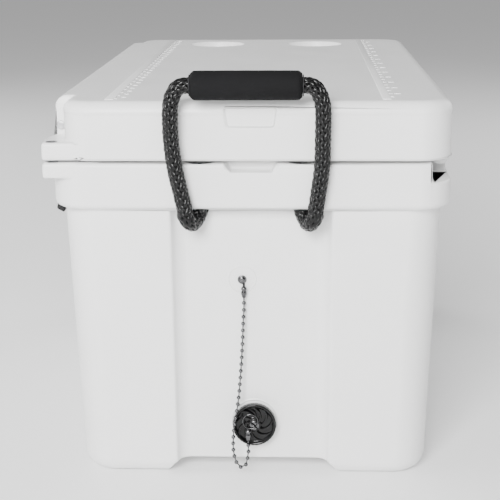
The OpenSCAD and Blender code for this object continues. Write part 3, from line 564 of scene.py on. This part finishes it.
for name, finish in (("drain_nut", nylon), ("drain_seal", seal), ("drain_plug_gasket", seal)):
    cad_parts[name].data.materials[0] = finish

bm = bmesh.new()
turned(bm, [(0, -26), (8.6, -26), (9.4, -25), (10.3, -23)]
       + [(10.38 - (0.5 if k % 2 else 0), -22 + 1.25 * k) for k in range(15)]
       + [(10.4, 0), (22.5, 0), (24.3, 0.5), (25, 1.2), (25, 7.4), (24.7, 7.9), (24.1, 8.2), (22.8, 8.2),
          (21.7, 7.4),
          (21.2, 6.2), (20, 5.6), (9.2, 5.4), (8, 6.0), (7.2, 7.7), (6.2, 8.0), (2.2, 8.0), (2.15, 2),
          (0, 2)],
       place(343.28, 2, 63, "X"), 96)
for v in bm.verts:                                              # coin edge round the rim
    out = math.hypot(v.co.y - 2, v.co.z - 63)
    if out > 24.5:
        grow = 1 - 0.012 * (0.5 + 0.5 * math.cos(32 * math.atan2(v.co.z - 63, v.co.y - 2)))
        v.co.y, v.co.z = 2 + (v.co.y - 2) * grow, 63 + (v.co.z - 63) * grow
for k in range(9):                                              # curved ribs from the hub to the rim
    spots = []
    for i in range(9):
        out, angle = 6.4 + 16 * i / 8, math.tau * k / 9 + 1.05 * (i / 8) ** 1.3
        spots.append(Vector((343.28, 2 + out * math.cos(angle), 63 + out * math.sin(angle))))
    across = []
    for i, spot in enumerate(spots):
        way = (spots[min(i + 1, 8)] - spots[max(i - 1, 0)]).normalized()
        side = Vector((0, -way.z, way.y)) * 1.35
        crest = 7.9 if i < 7 else 7.9 - 0.9 * (i - 6)
        across.append([bm.verts.new(spot + side * w + Vector((h * crest, 0, 0)))
                       for w, h in ((-1.25, 0.6), (-0.75, 0.95), (0, 1.0), (0.75, 0.95), (1.25, 0.6))])
    for a, b in zip(across, across[1:]):
        for i in range(4):
            bm.faces.new((a[i], a[i + 1], b[i + 1], b[i]))
    for a in (across[0], across[-1]):
        bm.faces.new(a)
plug = make_piece("drain_plug_moulded", bm, plug_black, "drain_plug")
sharp_edges(plug, 50)
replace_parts(plug, "drain_plug")

# The swivel eye in the plug's middle is a riveted pin with a disc and an arch
# of stainless wire; a two-turn split ring joins it to the chain.
lean = math.radians(132)
bm = bmesh.new()
turned(bm, [(0, -9.2), (1.9, -9.2), (1.95, 0), (5.3, 0), (5.6, 0.3), (5.55, 0.9), (5.0, 1.25), (2.6, 1.6),
            (0, 1.7)],
       place(351.36, 2, 63, "X"), 40)
centre = Vector((352.4, 2, 63))
out_of = Vector((0, math.cos(lean), math.sin(lean)))
dots = bmesh.ops.create_circle(bm, segments=12, radius=1.1, matrix=Matrix.Translation(centre + out_of * 4.2)
                               @ Vector((1, 0, 0)).to_track_quat("Z", "Y").to_matrix().to_4x4())["verts"]
bmesh.ops.spin(bm, geom=dots + list({e for v in dots for e in v.link_edges}), cent=centre,
               axis=(0, -math.sin(lean), math.cos(lean)), angle=-math.pi, steps=20)
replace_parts(make_piece("plug_eye", bm, polished, "tub"), "tether_eye")
bm = bmesh.new()
ring_at = Vector((353.98 - 0.45, 2 + 8.6 * 0.78 * math.cos(lean), 63 + 8.6 * 0.9 * math.sin(lean)))
dots = bmesh.ops.create_circle(bm, segments=8, radius=0.46,
                               matrix=Matrix.Translation(ring_at + Vector((0, 8.6, 0))))["verts"]
wire = dots + list({e for v in dots for e in v.link_edges})
bmesh.ops.contextual_create(bm, geom=wire)
bmesh.ops.spin(bm, geom=wire, cent=ring_at, axis=(1, 0, 0), angle=2 * math.tau * 0.97, steps=96,
               dvec=(0.95 / 96, 0, 0))
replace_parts(make_piece("two_turn_ring", bm, polished, "tub"), "split_ring")

# A pan-head screw with a cross recess holds the chain's tab to the end panel.
bm = bmesh.new()
turned(bm, [(0, -14), (1.2, -13), (2, -11), (2, 1.7), (4.2, 1.7), (4.4, 2.0), (4.35, 2.7), (3.7, 3.6),
            (2.2, 4.15), (0, 4.3)],
       place(341.6, -11, 234, "X"), 40)
screw = make_piece("anchor_screw", bm, polished, "tub")
cuts = [(solid(box, (344.3, -11 - a, 234 - b), (350, -11 + a, 234 + b)), "DIFFERENCE") for a,
        b in ((2.3, 0.5), (0.5, 2.3))]
carve(screw, cuts)
sharp_edges(screw)
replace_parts(screw, "chain_screw")


# ---- Rope handles -----------------------------------------------------------
# Each handle is black polyester cord, braided from sixteen strands, that hangs
# from two holes in the rim; knots in pockets under the lid hold its ends.
def rope_material():
    """Woven black polyester: fine filaments along each strand, and small glints."""
    material = surface_material("braided_polyester", (0.0015, 0.0015, 0.0016), 0.27, 0.0007, 0.00006,
                                mottle=0.3, shine=0.32)
    material.node_tree.nodes["Principled BSDF"].inputs["Sheen Weight"].default_value = 0.02
    material.node_tree.nodes["Principled BSDF"].inputs["Sheen Roughness"].default_value = 0.4
    return material


def braid(name, line, material, strand=2.35, middle=6.15, wave=0.5, turn=0.085, spacing=1.5):
    """Sixteen strands woven round a line of points, over a plain core."""
    points, _ = smooth_route(line, spacing)
    ways = [(points[min(i + 1, len(points) - 1)] - points[max(i - 1, 0)]).normalized()
            for i in range(len(points))]
    sides = [ways[0].orthogonal().normalized()]
    for way in ways[1:]:
        sides.append((sides[-1] - way * sides[-1].dot(way)).normalized())
    data = bpy.data.curves.new(name, "CURVE")
    data.dimensions = "3D"
    data.bevel_depth = 0.001
    data.bevel_resolution = 1
    data.use_fill_caps = True
    strands = [(d, k) for d in (1, -1) for k in range(8)]
    for direction, k in strands + [(0, 0)]:
        spline = data.splines.new("POLY")
        spline.points.add(len(points) - 1)
        s = 0.0
        for i, p in enumerate(points):
            if i:
                s += (p - points[i - 1]).length
            out = middle + direction * wave * math.cos(8 * turn * s) if direction else 0
            angle = direction * turn * s + math.tau * k / 8
            offset = sides[i] * math.cos(angle) + ways[i].cross(sides[i]) * math.sin(angle)
            spline.points[i].co = [*((p + offset * out) / 1000), 1]
            spline.points[i].radius = strand if direction else 5.9
    maker = bpy.data.objects.new(name, data)
    bpy.context.scene.collection.objects.link(maker)
    mesh = bpy.data.meshes.new_from_object(maker.evaluated_get(bpy.context.evaluated_depsgraph_get()))
    bpy.data.objects.remove(maker)
    mesh.name = name
    mesh.materials.clear()
    mesh.materials.append(material)
    mesh.polygons.foreach_set("use_smooth", [True] * len(mesh.polygons))
    piece = bpy.data.objects.new(name, mesh)
    bpy.context.scene.collection.objects.link(piece)
    return piece, points


def turn_with(piece, points, bend_from, bend_to):
    """The rope bends at its holes. This bakes its placement into the mesh and works out how far into the bend
    each point lies, but nothing uses that, and the rope rides on neither the tub nor the handle.
    """
    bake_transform(piece)
    tree, along, lengths = KDTree(len(points)), 0.0, []
    for i, p in enumerate(points):
        along += (p - points[i - 1]).length if i else 0
        lengths.append(along)
        tree.insert(p / 1000, i)
    tree.balance()
    for v in piece.data.vertices:
        s = lengths[tree.find(v.co)[1]]
        t = min(1, max(0, (min(s, along - s) - bend_from) / (bend_to - bend_from)))


polyester = rope_material()


def near_side(s):
    """Half of the upright handle's line: down out of its hole, round, and up to the grip."""
    line = [(354.5, s * 55, 345), (354.5, s * 55, 330), (354.5, s * 55, 322)]
    for k in range(7):
        a = math.radians(180 + 30 * k)
        line.append((366.5 + 12 * math.cos(a), s * (55 + 15 * k / 6), 316 + 12 * math.sin(a)))
    for x, y, z in ((378.5, 70.3, 323.4), (379.3, 73, 338.4), (380.5, 78, 368.4), (381.9, 80, 400.4),
                    (384, 80, 427.6), (384.6, 78, 441.6), (385, 72, 452.6), (385, 64, 455.6),
                    (385, 54, 455.6), (385, 20, 455.6)):
        line.append((x, s * y - 3 * min(1, max(0, (z - 323.4) / 77)), z))
    return line


def far_side(s):
    """Half of the hanging handle's line, straight down out of its hole."""
    return [(-354.5, s * 55, 345), (-354.5, s * 55, 330), (-354.5, s * 55, 318.1), (-354.5, s * 55, 307.1),
            (-354.5, s * 55, 297.4), (-361.5, s * 61, 278.4), (-372, s * 71, 250.4), (-377, s * 78, 218.4),
            (-381, s * 80, 168.4), (-381, s * 78, 154.4), (-381, s * 72, 143.4), (-381, s * 64, 140.4),
            (-381, s * 54, 140.4), (-381, s * 20, 140.4)]


rope, points = braid("rope_near", near_side(-1) + near_side(1)[::-1], polyester)
turn_with(rope, points, 29, 70)
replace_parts(rope, "rope_run_near", "rope_bends_near")
rope, points = braid("rope_far", far_side(-1) + far_side(1)[::-1], polyester)
turn_with(rope, points, 27, 62)
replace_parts(rope, "rope_run_far", "rope_bends_far")
for s, side in ((1, "near"), (-1, "far")):                      # a knot in each rim pocket
    bm = bmesh.new()
    knots = []
    for t in (-1, 1):
        line = []
        for k in range(49):
            a = math.tau * k / 48
            line.append((s * 350.5 + 3.1 * (math.sin(a) + 2 * math.sin(2 * a)) * 0.86,
                         t * 55 + 3.1 * (math.cos(a) - 2 * math.cos(2 * a)) * 0.86,
                         355.9 - 4.6 * math.sin(3 * a)))
        knots.append(braid("knot", line, polyester, 1.45, 3.5, 0.3, 0.115, 1.2)[0])
    for knot in knots:
        bm.from_mesh(knot.data)
        bpy.data.objects.remove(knot)
    bmesh.ops.scale(bm, vec=(1000, 1000, 1000), verts=bm.verts)
    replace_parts(make_piece("rope_knots_" + side, bm, polyester, "tub"), "rope_ends_" + side)

# The grip is a sleeve of black closed-cell foam, a little crowned, with turned
# ends and a thin rubber washer at each.
grip_foam = surface_material("grip_foam", (0.006, 0.006, 0.0065), 0.9, 0.0016, 0.00022, mottle=0.25,
                             shine=0.15)
for x, y, z, side in ((385, -3, 455.6, "near"), (-381, 0, 140.4, "far")):
    bm = bmesh.new()
    outer = [(11.2, 0.2), (12.4, 0.4), (14.7, 3.0), (15.3, 4.4), (15.4, 8)]
    outer += [(15.4 + 0.1 * math.sin(math.pi * k / 12) + 0.06 * math.sin(2.3 * k), 8 + 101 * k / 12)
              for k in range(1, 12)]
    outer += [(r, 117 - up) for r, up in outer[:5]][::-1]
    turned(bm, [(8.95, 0.6), (10.2, 0.2)] + outer + [(10.2, 116.8), (8.95, 116.4), (8.95, 0.6)],
           place(x, y - 58.5, z, "Y"), 64)
    grip = make_piece("foam_grip_" + side, bm, grip_foam, "handle_" + side)
    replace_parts(grip, "grip_" + side)
    bm = bmesh.new()
    for t in (-1, 1):
        turned(bm, [(8.95, -0.5), (10.9, -0.6), (11.2, -0.3), (11.2, 0.3), (10.9, 0.6), (8.95, 0.5),
                    (8.95, -0.5)],
               place(x, y + t * 59.1, z, "Y"), 48)
    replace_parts(make_piece("end_washers_" + side, bm, seal, "handle_" + side),
                "grip_washers_" + side)

# ---- Wheels -----------------------------------------------------------------
# Two solid rubber tyres with a moulded tread are pressed on spoked nylon hubs,
# on one steel axle that runs in plastic bushes through the tub.
tread = surface_material("tyre_rubber", (0.02, 0.02, 0.021), 0.72, 0.0012, 0.00008, mottle=0.2, wear=0.3)
hub_nylon = surface_material("hub_nylon", (0.05, 0.05, 0.054), 0.42, 0.0009, 0.00003, mottle=0.1, wear=0.3)
for s, side in ((-1, "front"), (1, "back")):
    at = place(AXLE_X, s * 154, AXLE_Z, "Y" if s > 0 else "-Y")
    bm = bmesh.new()
    outline = [(51.5, 0.4), (56, 0), (62, 0.2), (65.4, 0.9), (67.9, 2.4), (69.2, 4.2)]
    outline += [(69.95, 5.5 + 31 * k / 24) for k in range(25)]
    outline += [(r, 42 - z) for r, z in outline[:6]][::-1]
    turned(bm, outline + [(51.5, 0.4)], at, 240)
    back = at.inverted()
    for v in bm.verts:                                          # zigzag blocks and two grooves
        p = back @ v.co
        out, angle = math.hypot(p.x, p.y), math.atan2(p.y, p.x)
        if out > 68.5:
            zig = math.sin(40 * angle + 0.35 * abs(p.z - 21))
            depth = 1.5 * max(0, min(1, 3 * (zig - 0.55))) if abs(p.z - 21) > 4.5 else 0
            depth = max(depth, 1.6 * max(0, min(1, 2.2 - 1.4 * min(abs(p.z - 15), abs(p.z - 27)))))
            v.co = at @ Vector((p.x * (1 - depth / out), p.y * (1 - depth / out), p.z))
    tyre = make_piece("tyre_" + side + "_moulded", bm, tread, "wheel_" + side)
    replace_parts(tyre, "tyre_" + side)
    bm = bmesh.new()
    turned(bm, [(46.5, 1), (47.5, 0.2), (51, 0.2), (51.8, 1), (51.8, 41), (51, 41.8), (47.5, 41.8),
                (46.5, 41), (46, 28),
                (46, 14), (46.5, 1)], at, 96)
    turned(bm, [(6.08, 0.5), (6.6, 0), (13.2, 0), (14, 0.8), (14, 15), (47, 16), (47, 26), (14, 27),
                (14, 41.2), (13.2, 42),
                (6.6, 42), (6.08, 41.5), (6.08, 0.5)], at, 64)
    for k in range(6):
        spoke = solid(box, (11, -3, 2.5), (47.5, 3, 39.5), 1.2, 2)
        bmesh.ops.transform(spoke, matrix=at @ Matrix.Rotation(math.tau * k / 6, 4, "Z"), verts=spoke.verts)
        arm = bpy.data.meshes.new("spoke")
        spoke.to_mesh(arm)
        spoke.free()
        bm.from_mesh(arm)
    hub = make_piece("hub_" + side + "_moulded", bm, hub_nylon, "wheel_" + side)
    sharp_edges(hub)
    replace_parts(hub, "wheel_hub_" + side)
for name, finish in (("axle", steel), ("axle_bushes", hub_nylon)):
    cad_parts[name].data.materials[0] = finish
bm = bmesh.new()
for s in (-1, 1):
    for start in (152.4, 196.4):
        turned(bm, [(6.05, 0), (10.7, 0), (11, 0.3), (11, 0.9), (10.7, 1.2), (6.05, 1.2), (6.05, 0)],
               place(AXLE_X, s * start, AXLE_Z, "Y" if s > 0 else "-Y"))
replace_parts(make_piece("axle_washers", bm, steel, "tub"), "wheel_washers")
bm = bmesh.new()
for s in (-1, 1):
    turned(bm, [(6.05, 0), (9.4, 0), (10, 0.5), (10, 2.4), (9.5, 3.2), (8.2, 4.3), (5.6, 5.2), (2.5, 5.4),
                (0, 5.4)],
           place(AXLE_X, s * 197.6, AXLE_Z, "Y" if s > 0 else "-Y"), 40)
caps = make_piece("push_caps", bm, steel, "tub")
sharp_edges(caps)
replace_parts(caps, "axle_caps")

# ---- Floor and light --------------------------------------------------------
# A plain white floor, a wide soft light over the camera's side and a darker
# far side, so the lid's grazing reflection reads grey.
paper = bpy.data.materials.new("studio_floor")
paper.use_nodes = True
shader = paper.node_tree.nodes["Principled BSDF"]
shader.inputs["Base Color"].default_value = (0.9, 0.9, 0.9, 1)
shader.inputs["Roughness"].default_value = 0.9
shader.inputs["Emission Color"].default_value = (1, 1, 1, 1)
shader.inputs["Emission Strength"].default_value = 0.12
bm = bmesh.new()
bmesh.ops.create_grid(bm, x_segments=1, y_segments=1, size=30000)
floor = make_piece("studio_floor", bm, paper, None)

world = bpy.data.worlds.new("studio")
bpy.context.scene.world = world
world.use_nodes = True
nodes, links = world.node_tree.nodes, world.node_tree.links
sky = nodes["Background"]
facing = nodes.new("ShaderNodeTexCoord")
split = nodes.new("ShaderNodeSeparateXYZ")
shade = nodes.new("ShaderNodeValToRGB")
span = nodes.new("ShaderNodeMapRange")
links.new(facing.outputs["Generated"], split.inputs["Vector"])
links.new(split.outputs["X"], span.inputs["Value"])
span.inputs["From Min"].default_value = -1
span.inputs["From Max"].default_value = 1
links.new(span.outputs["Result"], shade.inputs["Fac"])
shade.color_ramp.elements[0].position = 0.05
shade.color_ramp.elements[0].color = (0.12, 0.12, 0.123, 1)
shade.color_ramp.elements[1].position = 0.75
shade.color_ramp.elements[1].color = (0.6, 0.6, 0.6, 1)
links.new(shade.outputs["Color"], sky.inputs["Color"])
sky.inputs["Strength"].default_value = 0.8


def soft_light(name, spot, target, size, power):
    """A square softbox aimed at a point."""
    lamp = bpy.data.objects.new(name, bpy.data.lights.new(name, "AREA"))
    lamp.data.size, lamp.data.energy = size, power
    lamp.matrix_world = (Matrix.Translation(spot)
                         @ (Vector(target) - Vector(spot)).to_track_quat("-Z", "Y").to_matrix().to_4x4())
    bpy.context.scene.collection.objects.link(lamp)


soft_light("key", (2.9, -0.6, 1.6), (0.3, 0, 0.2), 1.2, 180)
soft_light("fill", (1.0, -2.4, 1.5), (0.2, 0, 0.2), 1.6, 26)
soft_light("top", (-0.2, 0, 2.6), (0, 0, 0.2), 2.0, 14)
soft_light("back_left", (-1.8, -2.2, 1.3), (0, 0, 0.2), 1.4, 34)
soft_light("back_right", (-1.8, 2.2, 1.3), (0, 0, 0.2), 1.4, 34)
